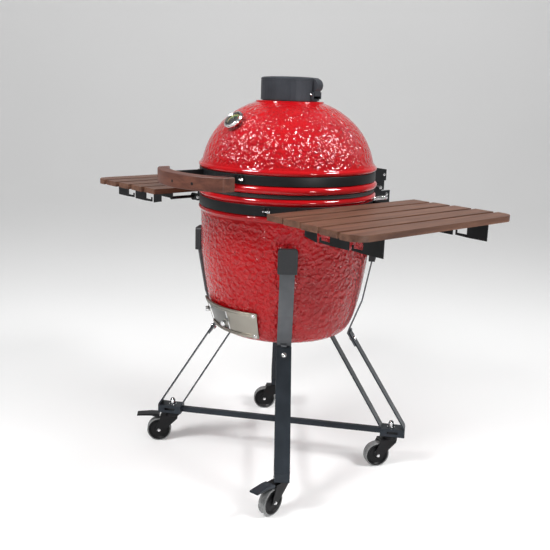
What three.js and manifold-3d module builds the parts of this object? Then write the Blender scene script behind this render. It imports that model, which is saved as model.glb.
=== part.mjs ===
// Kamado ceramic grill on a folded-strip cart: an egg-shaped ceramic body with a hinged dome,
// side shelves that fold down, a sliding draught door and four swivel casters.
// Millimetres, +Z up. The origin is on the floor under the egg's axis; the front faces -Y.
import * as THREE from 'three';
import { mergeVertices } from 'three/addons/utils/BufferGeometryUtils.js';
import Module from 'manifold-3d';

const wasm = await Module();
wasm.setup();

// ---- driving dimensions ----
const GAP = 0.3;
const ROUND_SIDES = 36;
const SMALL_SIDES = 16;

// ceramic egg: heights are above the floor, radii from the vertical axis
const RIM_Z = 879;
const LIP_RADIUS = 271;
const GROOVE_RADIUS = 264.6;
const BAND_RADIUS = 268;
const BAND_THICKNESS = 3;
const LOWER_BAND_Z = [830, 859];
const UPPER_BAND_Z = [915, 942];
const GASKET_HEIGHT = 5.6;
const DOME_RIM_Z = 891;
const BELLY_Z = 697;
const BELLY_RADIUS = 261;
const SHOULDER_RADIUS = 264;
const EGG_BOTTOM_Z = 437;
const EGG_FOOT_RADIUS = 167;
const BOWL_ROOT = 3.2;
const WALL = 25;
const RIM_INNER_RADIUS = 238;
const DOME_SPRING_Z = 957;
const DOME_CURVE_START_Z = 724;
const DOME_CURVE_RADIUS = 271.6;
const DOME_CURVE_POWER = 4.6;
const DOME_CURVE_ROOT = 1.26;
const NECK_RADIUS = 93;
const NECK_Z = 1139;
const FLUE_RADIUS = 66;

// chimney cap
const CAP_RADIUS = 88;
const CAP_BOTTOM_Z = 1143.6;
const CAP_TOP_Z = 1209;
const CAP_LID_THICKNESS = 8;
const CAP_WALL = 6;
const CAP_PIVOT = { y: 86, z: 1161 };
const CAP_EAR_RADIUS = 20;
const CAP_LUG_HALF_WIDTH = 19;
const CAP_SPIGOT_RADIUS = 82;
const CAP_TURN = -70;

// draught vent: a cone-shaped steel frame on the lower front
const VENT_Z = [455, 540];
const VENT_INNER_RADIUS = [213, 241.5];
const VENT_DEPTH = 7;
const VENT_HALF_ANGLE = 31;
const VENT_SPLIT_ANGLE = -86.5;
const VENT_HOLE = { halfWidth: 60, low: 470, high: 522 };

// lid hinge, behind the egg
const HINGE_PIVOT = { y: 360, z: 866 };
const HINGE_REACH = 420;
const HINGE_PLATE_X = 45;
const HINGE_ARM_X = 36;
const HINGE_PLATE = 4;

// front handle: an arched bar
const HANDLE_FRONT_Y = -420;
const HANDLE_ARC_RADIUS = 250;
const HANDLE_HALF_LENGTH = 160;
const HANDLE_DEPTH = 40;
const HANDLE_Z = [905, 945];
const HANDLE_ARM_X = 80;

// cart: four legs on the diagonals of a rectangle
const FOOT_X = 321.5;
const FOOT_Y = 261.8;
const LEG_ANGLE = THREE.MathUtils.radToDeg(Math.atan2(FOOT_Y, FOOT_X));
const STRIP_WIDTH = 44;
const STRIP_THICKNESS = 4;
const FOOT_BOTTOM_Z = 102;
const FOOT_HEIGHT = 26;
const FOOT_RADII = [333, 411];
const STEM_RADIUS_POSITION = 366;
const CROSS_BAR = { width: 12, height: 18 };

// casters
const WHEEL_RADIUS = 40;
const WHEEL_WIDTH = 25;
const WHEEL_SIDES = 24;
const AXLE_Z = WHEEL_RADIUS * Math.cos(Math.PI / WHEEL_SIDES);
const CASTER_TRAIL = 46;

// side shelves
const SLAT_COUNT = 5;
const SLAT_FIRST_X = 275;
const SLAT_PITCH = 72;
const SLAT_WIDTH = 60;
const SLAT_THICKNESS = 16;
const SHELF_TOP_Z = 860;
const SLAT_HALF_LENGTH = 290;
const SLAT_FLARE = 5;
const SLAT_SHIFT_Y = -15;
const SHELF_CORNER_RADIUS = 45;
const SHELF_PIVOT = { x: 290, z: 827 };
const RAIL_THICKNESS = 3;
const RAIL_START_X = 280;
const RAIL_STRIP_HEIGHT = 17;
const RAIL_PLATE_HEIGHT = 45;
const RAIL_PLATES_X = [[347, 392], [445, 508], [560, 621]];
const HOOK_REACH = 42;
const RAIL_FRONT_Y = -235;
const RAIL_REAR_Y = 170;
const SHELF_ARM_Y = 150;
const SHELF_ROD_RADIUS = 5;
const SHELF_EYE_RADIUS = 12;

// ---- materials ----
function material(color, roughness, metalness) {
  return new THREE.MeshStandardMaterial({ color, roughness, metalness });
}

const glaze = material(0xc4161c, 0.16, 0.0);
const fireclay = material(0xc9b79a, 0.9, 0.0);
const felt = material(0x1b1b1c, 0.95, 0.0);
const blackSteel = material(0x1d1f21, 0.42, 0.6);
const castIron = material(0x3b3d41, 0.5, 0.6);
const stainless = material(0x8d8a82, 0.32, 1.0);
const chrome = material(0xc8cacc, 0.12, 1.0);
const walnut = material(0x6b3a2a, 0.55, 0.0);
const rubber = material(0x17181a, 0.8, 0.0);
const tread = material(0x8f9193, 0.7, 0.0);
const nylon = material(0x131416, 0.45, 0.0);

// ---- solids ----
const X_AXIS = new THREE.Vector3(1, 0, 0);
const Y_AXIS = new THREE.Vector3(0, 1, 0);
const Z_AXIS = new THREE.Vector3(0, 0, 1);
const TO_XZ = new THREE.Matrix4().makeBasis(X_AXIS, Z_AXIS, Y_AXIS.clone().negate());
const TO_YZ = new THREE.Matrix4().makeBasis(Y_AXIS, Z_AXIS, X_AXIS);

function signedVolume(positions, index) {
  const corner = [new THREE.Vector3(), new THREE.Vector3(), new THREE.Vector3()];
  let total = 0;
  for (let i = 0; i < index.length; i += 3) {
    corner.forEach((v, k) => v.fromArray(positions, 3 * index[i + k]));
    total += corner[0].dot(corner[1].cross(corner[2])) / 6;
  }
  return total;
}

function solid(geometry) {
  const bare = geometry.clone();
  bare.deleteAttribute('normal');
  bare.deleteAttribute('uv');
  const merged = mergeVertices(bare, 1e-3);
  const vertProperties = Float32Array.from(merged.attributes.position.array);
  const index = Array.from(merged.index.array);
  const faces = [];
  for (let i = 0; i < index.length; i += 3) {
    const [a, b, c] = index.slice(i, i + 3);
    if (a !== b && b !== c && a !== c) {
      faces.push(a, b, c);
    }
  }
  if (signedVolume(vertProperties, faces) < 0) {
    faces.reverse();
  }
  const triVerts = Uint32Array.from(faces);
  return new wasm.Manifold(new wasm.Mesh({ numProp: 3, vertProperties, triVerts }));
}

function join(...pieces) {
  return pieces.reduce((all, piece) => all.add(piece));
}

function box(x, y, z) {
  const geometry = new THREE.BoxGeometry(x[1] - x[0], y[1] - y[0], z[1] - z[0]);
  geometry.translate((x[0] + x[1]) / 2, (y[0] + y[1]) / 2, (z[0] + z[1]) / 2);
  return solid(geometry);
}

function revolve(profile, sides = ROUND_SIDES) {
  const points = profile.map(([radius, z]) => new THREE.Vector2(radius, z));
  const [first, last] = [points[0], points[points.length - 1]];
  if (first.x > 0 || last.x > 0) {
    points.push(first.clone());
  }
  const geometry = new THREE.LatheGeometry(points, sides);
  geometry.rotateX(Math.PI / 2);
  return solid(geometry);
}

// a round bar along one axis, centred on a point
function rod(radius, length, axis, centre, sides = SMALL_SIDES) {
  const geometry = new THREE.CylinderGeometry(radius, radius, length, sides);
  const turn = new THREE.Quaternion().setFromUnitVectors(Y_AXIS, axis);
  geometry.applyQuaternion(turn);
  geometry.translate(...centre);
  return solid(geometry);
}

function extrude(shape, depth) {
  const options = { depth, bevelEnabled: false, curveSegments: 6 };
  const geometry = new THREE.ExtrudeGeometry(shape, options);
  geometry.translate(0, 0, -depth / 2);
  return geometry;
}

function outline(points) {
  return new THREE.Shape(points.map(([a, b]) => new THREE.Vector2(a, b)));
}

// a plate drawn in the XZ plane, with its thickness centred on y
function plateXZ(shape, thickness, y) {
  const geometry = extrude(shape, thickness).applyMatrix4(TO_XZ);
  return solid(geometry.translate(0, y, 0));
}

// a plate drawn in the YZ plane, with its thickness centred on x
function plateYZ(shape, thickness, x) {
  const geometry = extrude(shape, thickness).applyMatrix4(TO_YZ);
  return solid(geometry.translate(x, 0, 0));
}

function plateXY(shape, z) {
  const geometry = extrude(shape, z[1] - z[0]);
  return solid(geometry.translate(0, 0, (z[0] + z[1]) / 2));
}

function degrees(angle) {
  return THREE.MathUtils.degToRad(angle);
}

// a wedge of space between two angles about the vertical axis, to trim rings with
function wedge(from, to, z = [0, 1400]) {
  const reach = 600;
  const middle = (from + to) / 2;
  const rim = [from, middle, to].map((angle) => {
    return [reach * Math.cos(degrees(angle)), reach * Math.sin(degrees(angle))];
  });
  return plateXY(outline([[0, 0], ...rim]), z);
}

// the outline of a strip that follows a centre line of straight stretches
function stripOutline(line, thickness) {
  const points = line.map(([a, b]) => new THREE.Vector2(a, b));
  const half = thickness / 2;
  const side = (sign) => points.map((point, i) => {
    const before = points[Math.max(i - 1, 0)];
    const after = points[Math.min(i + 1, points.length - 1)];
    const incoming = (i > 0 ? point.clone().sub(before) : after.clone().sub(point)).normalize();
    const outgoing = (i < points.length - 1 ? after.clone().sub(point) : incoming.clone()).normalize();
    const normal = new THREE.Vector2(-incoming.y - outgoing.y, incoming.x + outgoing.x).normalize();
    const stretch = half / (normal.x * -incoming.y + normal.y * incoming.x);
    return point.clone().addScaledVector(normal, sign * stretch);
  });
  return new THREE.Shape([...side(1), ...side(-1).reverse()]);
}

// ---- the assembly ----
const grill = new THREE.Group();

function place(name, piece, finish, parent = grill) {
  const { vertProperties, triVerts } = piece.getMesh();
  const geometry = new THREE.BufferGeometry();
  geometry.setAttribute('position', new THREE.BufferAttribute(vertProperties, 3));
  geometry.setIndex(new THREE.BufferAttribute(triVerts, 1));
  geometry.computeVertexNormals();
  const mesh = new THREE.Mesh(geometry, finish);
  mesh.name = name;
  parent.add(mesh);
}

function steps(count) {
  return Array.from({ length: count + 1 }, (_, i) => i / count);
}

// ---- ceramic shells ----
// the bowl curves in from its belly to its foot along a root curve
function bowlCurve(belly, foot, top, bottom, count) {
  return steps(count).map((t) => {
    const drop = Math.sin(t * Math.PI / 2);
    return [foot + (belly - foot) * (1 - drop) ** (1 / BOWL_ROOT), top - (top - bottom) * drop];
  });
}

function domeCurve(outset, from, to, count) {
  return steps(count).map((t) => {
    const z = from + (to - from) * Math.sin(t * Math.PI / 2);
    const rise = (z - DOME_CURVE_START_Z) / (NECK_Z - DOME_CURVE_START_Z);
    const share = Math.max(1 - rise ** DOME_CURVE_POWER, 0) ** (1 / DOME_CURVE_ROOT);
    return [NECK_RADIUS + outset + (DOME_CURVE_RADIUS - NECK_RADIUS) * share, z];
  });
}

function baseShell() {
  const [bandLow, bandHigh] = LOWER_BAND_Z;
  const outside = [
    [RIM_INNER_RADIUS, RIM_Z], [LIP_RADIUS - 6, RIM_Z], [LIP_RADIUS, RIM_Z - 6],
    [LIP_RADIUS, bandHigh + 6], [GROOVE_RADIUS, bandHigh + 1],
    [GROOVE_RADIUS, bandLow - 1], [LIP_RADIUS - 2, bandLow - 6],
    [LIP_RADIUS - 2, bandLow - 12], [SHOULDER_RADIUS, bandLow - 20],
  ];
  const bowl = bowlCurve(BELLY_RADIUS, EGG_FOOT_RADIUS, BELLY_Z, EGG_BOTTOM_Z, 7);
  const floor = [[0, EGG_BOTTOM_Z], [0, EGG_BOTTOM_Z + WALL]];
  const hollow = bowlCurve(
    BELLY_RADIUS - WALL, EGG_FOOT_RADIUS - WALL, BELLY_Z, EGG_BOTTOM_Z + WALL, 5,
  ).reverse();
  const shell = revolve([[RIM_INNER_RADIUS, RIM_Z], ...outside.slice(1), ...bowl, ...floor,
    ...hollow, [RIM_INNER_RADIUS, RIM_Z - 60]]);
  const { halfWidth, low, high } = VENT_HOLE;
  return shell.subtract(box([-halfWidth, halfWidth], [-300, -100], [low, high]));
}

function domeShell() {
  const [bandLow, bandHigh] = UPPER_BAND_Z;
  const outside = [
    [RIM_INNER_RADIUS, DOME_RIM_Z], [LIP_RADIUS - 6, DOME_RIM_Z], [LIP_RADIUS, DOME_RIM_Z + 7],
    [LIP_RADIUS, bandLow - 7], [GROOVE_RADIUS, bandLow - 1],
    [GROOVE_RADIUS, bandHigh + 1], [LIP_RADIUS - 1, bandHigh + 5], [LIP_RADIUS - 1, bandHigh + 9],
  ];
  const crown = domeCurve(0, DOME_SPRING_Z, NECK_Z, 8);
  const flue = [[FLUE_RADIUS, NECK_Z], [FLUE_RADIUS, NECK_Z - WALL]];
  const hollow = domeCurve(-WALL, DOME_SPRING_Z - 20, NECK_Z - WALL, 5).reverse();
  return revolve([...outside, ...crown, ...flue, ...hollow, [RIM_INNER_RADIUS, DOME_RIM_Z + 22]]);
}

function gasket(bottom) {
  const inner = RIM_INNER_RADIUS + 4;
  const outer = LIP_RADIUS - 7;
  const top = bottom + GASKET_HEIGHT;
  return revolve([[inner, bottom], [outer, bottom], [outer, top], [inner, top]]);
}

function band([low, high]) {
  const inner = BAND_RADIUS - BAND_THICKNESS;
  return revolve([[inner, low], [BAND_RADIUS, low], [BAND_RADIUS, high], [inner, high]]);
}

// ---- parts inside the egg ----
const FIRE_BOX_BOTTOM = EGG_BOTTOM_Z + WALL + GAP;
const FIRE_BOX_TOP = 740;
const FIRE_RING_TOP = 832;
const FIRE_WALL = 18;

function fireBox() {
  const [foot, top] = [148, 196];
  const ledge = 118;
  const cup = revolve([
    [70, FIRE_BOX_BOTTOM + FIRE_WALL], [70, FIRE_BOX_BOTTOM], [foot - 14, FIRE_BOX_BOTTOM],
    [foot + 18, FIRE_BOX_BOTTOM + 48], [top, 660], [top, FIRE_BOX_TOP],
    [top - FIRE_WALL, FIRE_BOX_TOP], [top - FIRE_WALL, 660], [foot, FIRE_BOX_BOTTOM + 60],
    [ledge, FIRE_BOX_BOTTOM + 60], [ledge, FIRE_BOX_BOTTOM + FIRE_WALL],
  ], 32);
  return cup.subtract(box([-42, 42], [-240, -60], [FIRE_BOX_BOTTOM + FIRE_WALL + 4, 512]));
}

function fireRing() {
  const [inner, outer] = [190, 214];
  const bottom = FIRE_BOX_TOP + GAP;
  return revolve([[inner, bottom], [outer, bottom], [outer, FIRE_RING_TOP], [inner, FIRE_RING_TOP]], 32);
}

function roundGrate(radius, bottom, thickness, barWidth, barCount) {
  const inner = radius - barWidth;
  const top = bottom + thickness;
  const ring = revolve([[inner, bottom], [radius, bottom], [radius, top], [inner, top]], 32);
  const spacing = 2 * radius / (barCount + 1);
  const bars = Array.from({ length: barCount }, (_, i) => {
    const x = -radius + spacing * (i + 1);
    const reach = Math.sqrt(inner ** 2 - x ** 2) + barWidth / 4;
    return box([x - barWidth / 2, x + barWidth / 2], [-reach, reach], [bottom, top]);
  });
  return join(ring, ...bars);
}

// ---- chimney cap, drawn with its hinge towards +Y and turned into place ----
const CAP_LUG_NOTCH_Y = 80;

function capBase() {
  const top = CAP_TOP_Z - CAP_LID_THICKNESS - GAP;
  const inner = CAP_RADIUS - CAP_WALL;
  const foot = NECK_Z + GAP;
  const tube = revolve([
    [FLUE_RADIUS, foot], [CAP_SPIGOT_RADIUS, foot], [CAP_SPIGOT_RADIUS, CAP_BOTTOM_Z],
    [CAP_RADIUS, CAP_BOTTOM_Z], [CAP_RADIUS, top], [inner, top],
    [inner, CAP_BOTTOM_Z + 8], [FLUE_RADIUS, CAP_BOTTOM_Z + 8],
  ]);
  const slot = CAP_LUG_HALF_WIDTH + 1;
  const notch = box([-slot, slot], [CAP_LUG_NOTCH_Y - 1, 130], [CAP_PIVOT.z - 12, CAP_TOP_Z]);
  const cheek = (side) => {
    const x = side * (slot + 3.5);
    const height = [CAP_PIVOT.z - 12, CAP_PIVOT.z + 8];
    return box([x - 3.5, x + 3.5], [CAP_LUG_NOTCH_Y - 4, CAP_PIVOT.y + 5], height);
  };
  const pin = rod(3, 2 * slot + 12, X_AXIS, [0, CAP_PIVOT.y, CAP_PIVOT.z], 12);
  return join(tube.subtract(notch), cheek(-1), cheek(1), pin);
}

function capLid() {
  const bottom = CAP_TOP_Z - CAP_LID_THICKNESS;
  const disc = revolve([[0, bottom], [CAP_RADIUS, bottom], [CAP_RADIUS, CAP_TOP_Z - 3],
    [CAP_RADIUS - 5, CAP_TOP_Z], [0, CAP_TOP_Z]]);
  const lug = new THREE.Shape();
  lug.moveTo(CAP_LUG_NOTCH_Y, CAP_TOP_Z - 1);
  lug.lineTo(CAP_LUG_NOTCH_Y, bottom);
  lug.lineTo(CAP_LUG_NOTCH_Y, CAP_PIVOT.z - 4);
  lug.lineTo(CAP_PIVOT.y + 6, CAP_PIVOT.z - 4);
  lug.absarc(CAP_LUG_NOTCH_Y, CAP_TOP_Z - 1 - CAP_EAR_RADIUS, CAP_EAR_RADIUS, -0.9, Math.PI / 2, false);
  const arm = plateYZ(lug, 2 * CAP_LUG_HALF_WIDTH, 0);
  const bore = rod(3.6, 60, X_AXIS, [0, CAP_PIVOT.y, CAP_PIVOT.z], 12);
  return join(disc, arm).subtract(bore);
}

const DAMPER_RADIUS = 74;

// a wheel-shaped damper that turns in the flue
function damper() {
  const z = CAP_BOTTOM_Z + 8 + 2;
  const disc = revolve([[0, z], [DAMPER_RADIUS, z], [DAMPER_RADIUS, z + 4], [0, z + 4]], 24);
  const holes = [45, 135, 225, 315].map((angle) => {
    const centre = [42 * Math.cos(degrees(angle)), 42 * Math.sin(degrees(angle)), z];
    return rod(20, 30, Z_AXIS, centre, 12);
  });
  const grip = box([-22, 22], [-4, 4], [z + 3, z + 14]);
  return holes.reduce((plate, hole) => plate.subtract(hole), disc).add(grip);
}

// ---- thermometer ----
const GAUGE_Z = 1076;
const GAUGE_RADIUS = 31;
const GAUGE_TILT = 47;

function gaugeSurfaceRadius() {
  const rise = (GAUGE_Z - DOME_CURVE_START_Z) / (NECK_Z - DOME_CURVE_START_Z);
  const share = (1 - rise ** DOME_CURVE_POWER) ** (1 / DOME_CURVE_ROOT);
  return NECK_RADIUS + (DOME_CURVE_RADIUS - NECK_RADIUS) * share;
}

function gaugeMatrix() {
  const tilt = new THREE.Matrix4().makeRotationX(degrees(90 - GAUGE_TILT));
  return tilt.setPosition(0, -gaugeSurfaceRadius(), GAUGE_Z);
}

function thermometer() {
  const profile = [[0, -70], [2.5, -70], [2.5, 5.6], [GAUGE_RADIUS - 6, 5.6], [GAUGE_RADIUS, 9],
    [GAUGE_RADIUS, 16], [GAUGE_RADIUS - 3, 20], [0, 20]];
  return revolve(profile, 32).transform(gaugeMatrix().elements);
}

// ---- hinge ----
function bandFace(z, halfWidth) {
  return box([-halfWidth, halfWidth], [BAND_RADIUS + GAP, BAND_RADIUS + GAP + 5], z);
}

function hingeLower() {
  const [low, high] = LOWER_BAND_Z;
  const front = BAND_RADIUS + GAP;
  const { y, z } = HINGE_PIVOT;
  const shape = outline([
    [front, low + 2], [front + 8, low - 18], [HINGE_REACH, low - 22], [HINGE_REACH, low + 23],
    [y + 18, low + 23], [y + 18, z + 12], [y - 18, z + 12], [y - 22, high - 2], [front, high - 2],
  ]);
  const plates = [-1, 1].map((side) => plateYZ(shape, HINGE_PLATE, side * HINGE_PLATE_X));
  const tail = box([-HINGE_PLATE_X, HINGE_PLATE_X], [HINGE_REACH - 4, HINGE_REACH], [low - 20, low - 12]);
  const floor = box([-HINGE_PLATE_X, HINGE_PLATE_X], [front + 40, HINGE_REACH - 2], [low - 20, low - 16]);
  const bore = rod(5.6, 140, X_AXIS, [0, y, z]);
  return join(...plates, tail, floor, bandFace([low + 2, high - 2], HINGE_PLATE_X)).subtract(bore);
}

function hingeUpper() {
  const [low, high] = UPPER_BAND_Z;
  const front = BAND_RADIUS + GAP;
  const { y, z } = HINGE_PIVOT;
  const shape = outline([
    [front, low], [y - 16, low - 10], [y - 13, z - 12], [y + 40, z - 12], [y + 40, z + 19],
    [y + 48, z + 19], [y + 48, high - 20], [front + 12, high - 1], [front, high - 1],
  ]);
  const arms = [-1, 1].map((side) => plateYZ(shape, HINGE_PLATE, side * HINGE_ARM_X));
  const bore = rod(5.6, 140, X_AXIS, [0, y, z]);
  return join(...arms, bandFace([low + 1, high - 1], HINGE_ARM_X)).subtract(bore);
}

function hingePin() {
  const length = 2 * (HINGE_PLATE_X + 12);
  return rod(5, length, X_AXIS, [0, HINGE_PIVOT.y, HINGE_PIVOT.z], SMALL_SIDES);
}

function hingeSpring(side) {
  const x = side * (HINGE_PLATE_X + HINGE_PLATE / 2 + 9);
  return rod(8, 104, Y_AXIS, [x, 346, LOWER_BAND_Z[0] + 2], SMALL_SIDES);
}

// ---- handle ----
function handleBar() {
  const angle = Math.asin(HANDLE_HALF_LENGTH / HANDLE_ARC_RADIUS);
  const centreY = HANDLE_FRONT_Y + HANDLE_ARC_RADIUS;
  const arc = (offset, from, to) => steps(12).map((t) => {
    const a = from + (to - from) * t;
    return [HANDLE_ARC_RADIUS * Math.sin(a), centreY + offset - HANDLE_ARC_RADIUS * Math.cos(a)];
  });
  const shape = outline([...arc(0, -angle, angle), ...arc(HANDLE_DEPTH, angle, -angle)]);
  return plateXY(shape, HANDLE_Z);
}

function handleBracket() {
  const [low, high] = UPPER_BAND_Z;
  const inner = BAND_RADIUS + GAP;
  const strap = revolve([[inner, low + 2], [inner + 3, low + 2], [inner + 3, high - 2], [inner, high - 2]]);
  const spread = THREE.MathUtils.radToDeg(Math.asin(HANDLE_ARM_X / BAND_RADIUS)) + 4;
  const arcDrop = HANDLE_ARC_RADIUS - Math.sqrt(HANDLE_ARC_RADIUS ** 2 - (HANDLE_ARM_X + 2) ** 2);
  const barBack = HANDLE_FRONT_Y + HANDLE_DEPTH + arcDrop;
  const strapFace = -Math.sqrt(inner ** 2 - HANDLE_ARM_X ** 2) - 1.2;
  const arms = [-1, 1].map((side) => {
    const x = side * HANDLE_ARM_X;
    return box([x - 2.5, x + 2.5], [barBack + 1.5, strapFace], [low + 2, high - 2]);
  });
  return join(strap.intersect(wedge(-90 - spread, -90 + spread)), ...arms);
}

// ---- draught vent ----
function coneAt(z, inset) {
  const share = (z - VENT_Z[0]) / (VENT_Z[1] - VENT_Z[0]);
  return VENT_INNER_RADIUS[0] + (VENT_INNER_RADIUS[1] - VENT_INNER_RADIUS[0]) * share + inset;
}

function coneBand(z, inset) {
  const [low, high] = z;
  const [inner, outer] = inset;
  return revolve([[coneAt(low, inner), low], [coneAt(low, outer), low],
    [coneAt(high, outer), high], [coneAt(high, inner), high]], 60);
}

function arcPart(z, inset, from, to) {
  return coneBand(z, inset).intersect(wedge(from, to, [z[0] - 1, z[1] + 1]));
}

const VENT_FROM = -90 - VENT_HALF_ANGLE;
const VENT_TO = -90 + VENT_HALF_ANGLE;
const DOOR_Z = [VENT_Z[0] + 9, VENT_Z[1] - 11];

function ventFrame() {
  const [low, high] = VENT_Z;
  const body = [0, VENT_DEPTH];
  const lip = [VENT_DEPTH - 1.5, VENT_DEPTH];
  const rails = [
    arcPart([low, DOOR_Z[0] - 0.5], body, VENT_FROM, VENT_TO),
    arcPart([DOOR_Z[1] + 0.5, high], body, VENT_FROM, VENT_TO),
    arcPart([low, DOOR_Z[0] + 3], lip, VENT_FROM, VENT_TO),
    arcPart([DOOR_Z[1] - 3, high], lip, VENT_FROM, VENT_TO),
  ];
  const stiles = [
    arcPart(VENT_Z, body, VENT_FROM, VENT_FROM + 2),
    arcPart(VENT_Z, body, VENT_TO - 5, VENT_TO),
  ];
  return join(...rails, ...stiles);
}

function knobOn(angle, z, inset) {
  const radius = coneAt(z, inset);
  const outward = new THREE.Vector3(Math.cos(degrees(angle)), Math.sin(degrees(angle)), 0);
  const turned = (size, from, to) => {
    const centre = outward.clone().multiplyScalar(radius + (from + to) / 2).setZ(z);
    return rod(size, to - from, outward, centre.toArray(), 12);
  };
  return join(turned(3.5, 0, 8), turned(8.5, 6, 19));
}

function ventDoor() {
  const panel = arcPart(DOOR_Z, [2.6, 4.0], VENT_SPLIT_ANGLE, VENT_TO - 5.5);
  const tabZ = [DOOR_Z[0] + 14, DOOR_Z[0] + 34];
  const tab = arcPart(tabZ, [2.6, 4.0], VENT_SPLIT_ANGLE - 4, VENT_SPLIT_ANGLE + 1);
  return join(panel, tab, knobOn(VENT_SPLIT_ANGLE - 1.5, DOOR_Z[0] + 24, 3.8));
}

function ventScreen() {
  const panel = arcPart(DOOR_Z, [0.3, 1.6], VENT_FROM + 2.4, VENT_SPLIT_ANGLE + 4);
  return join(panel, knobOn(VENT_FROM + 4.5, DOOR_Z[0] + 38, 1.4));
}

// ---- cart ----
// a leg is drawn in a vertical plane through the axis: first value outward, second value height
const FOOT_TOP_Z = FOOT_BOTTOM_Z + FOOT_HEIGHT;
const STRUT_TOP = [217, 437.5];
const STRUT_FOOT = [408, FOOT_TOP_Z + 4];
const INNER_FOOT = [335, FOOT_TOP_Z];
const INNER_TOP = [150, EGG_BOTTOM_Z - GAP - STRIP_THICKNESS / 2];
const STRAP_TOP_RADIUS = 274;
const STRAP_TOP = [[STRAP_TOP_RADIUS, 735], [STRAP_TOP_RADIUS, 671], [250.5, 541]];
const STRAP_LINE = [...STRAP_TOP, [211.9, 436.1], [238.1, 394.1]];
const PAD_Z = [671, 743];
const PAD_RADII = [264.5, 283];
const PAD_WIDTH = 56;

function footBox() {
  const [inner, outer] = FOOT_RADII;
  const half = STRIP_WIDTH / 2;
  const block = box([inner, outer], [-half, half], [FOOT_BOTTOM_Z, FOOT_TOP_Z]);
  const hollow = box([inner + 4, outer - 4], [-half + 3, half - 3], [FOOT_BOTTOM_Z + 4, FOOT_TOP_Z - 4]);
  const slot = box([inner + 22, outer - 22], [-half - 1, half + 1], [FOOT_BOTTOM_Z + 9, FOOT_TOP_Z - 9]);
  return block.subtract(hollow).subtract(slot);
}

function acornNut() {
  const bottom = FOOT_BOTTOM_Z + FOOT_HEIGHT - 1;
  const hexagon = rod(9.5, 11, Z_AXIS, [0, 0, bottom + 5.5], 6);
  const domed = [[0, 10], [8, 10], [7, 17], [4, 21], [0, 22]];
  const cap = revolve(domed.map(([radius, height]) => [radius, bottom + height]), 8);
  return join(hexagon, cap).translate([STEM_RADIUS_POSITION, 0, 0]);
}

function lowerLeg() {
  const outerLine = [STRUT_TOP, STRUT_FOOT, [408, FOOT_TOP_Z - 2]];
  const outer = plateXZ(stripOutline(outerLine, STRIP_THICKNESS), STRIP_WIDTH, 0);
  const innerLine = [[335, FOOT_TOP_Z - 2], INNER_FOOT, INNER_TOP, [31, INNER_TOP[1]]];
  const inner = plateXZ(stripOutline(innerLine, STRIP_THICKNESS), STRIP_WIDTH, 0);
  return join(outer, inner, footBox(), acornNut());
}

function upperStrap() {
  return plateXZ(stripOutline(STRAP_LINE, STRIP_THICKNESS), STRIP_WIDTH - 1, 0);
}

function strapPad() {
  const half = PAD_WIDTH / 2;
  const block = box(PAD_RADII, [-half, half], PAD_Z);
  const pocketLine = [[STRAP_TOP_RADIUS, PAD_Z[1] - 7], ...STRAP_TOP.slice(1)];
  const pocket = plateXZ(stripOutline(pocketLine, STRIP_THICKNESS + 1.2), STRIP_WIDTH + 1, 0);
  return block.subtract(pocket);
}

function crossBar(angle, extra = 0) {
  const reach = FOOT_RADII[0] - GAP;
  const half = CROSS_BAR.width / 2 + extra;
  const bottom = FOOT_BOTTOM_Z + 3;
  const bar = box([-reach, reach], [-half, half], [bottom, bottom + CROSS_BAR.height]);
  return bar.rotate([0, 0, angle]);
}

// the two bars cross in a halved joint
function crossBars() {
  const middle = FOOT_BOTTOM_Z + 3 + CROSS_BAR.height / 2;
  const near = 40;
  const upperHalf = box([-near, near], [-near, near], [middle - GAP / 2, middle + 40]);
  const lowerHalf = box([-near, near], [-near, near], [middle - 40, middle + GAP / 2]);
  const over = crossBar(LEG_ANGLE);
  const under = crossBar(-LEG_ANGLE);
  return [
    over.subtract(crossBar(-LEG_ANGLE, GAP).intersect(lowerHalf)),
    under.subtract(crossBar(LEG_ANGLE, GAP).intersect(upperHalf)),
  ];
}

// ---- casters, drawn under a stem at the origin and trailing towards +X ----
function casterFork() {
  const top = FOOT_BOTTOM_Z - GAP;
  const inside = WHEEL_WIDTH / 2 + 2;
  const housing = revolve([[0, top - 14], [19, top - 14], [22, top - 4], [19, top], [0, top]], 16);
  const crown = box([-16, 40], [-inside - 3, inside + 3], [top - 17, top - 11]);
  const cheek = outline([
    [-15, top - 13], [-15, top - 22], [CASTER_TRAIL - 12, WHEEL_RADIUS - 6],
    [CASTER_TRAIL + 3, WHEEL_RADIUS - 11], [CASTER_TRAIL + 12, WHEEL_RADIUS + 2], [40, top - 13],
  ]);
  const cheeks = [-1, 1].map((side) => plateXZ(cheek, 3, side * (inside + 1.5)));
  const wheelRoom = rod(WHEEL_RADIUS + 3, 2 * inside, Y_AXIS, [CASTER_TRAIL, 0, AXLE_Z], 16);
  const axle = rod(4, 2 * inside + 10, Y_AXIS, [CASTER_TRAIL, 0, AXLE_Z], 12);
  return join(housing, crown, ...cheeks).subtract(wheelRoom).add(axle);
}

function casterWheel() {
  const half = WHEEL_WIDTH / 2;
  const edge = WHEEL_RADIUS - 3;
  const profile = [[4.4, -half], [edge, -half], [WHEEL_RADIUS, 3 - half],
    [WHEEL_RADIUS, half - 3], [edge, half], [4.4, half]];
  // half a step of turn lays a flat of the tread on the floor
  const wheel = revolve(profile, WHEEL_SIDES).rotate([0, 0, 180 / WHEEL_SIDES]).rotate([90, 0, 0]);
  return wheel.translate([CASTER_TRAIL, 0, AXLE_Z]);
}

function brakePedal() {
  const shape = outline([
    [44, 92], [50, 97], [70, 98.5], [96, 97], [118, 95.5], [120, 91], [98, 91], [72, 91], [58, 86.5], [46, 86],
  ]);
  return plateXZ(shape, 30, 0);
}

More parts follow.
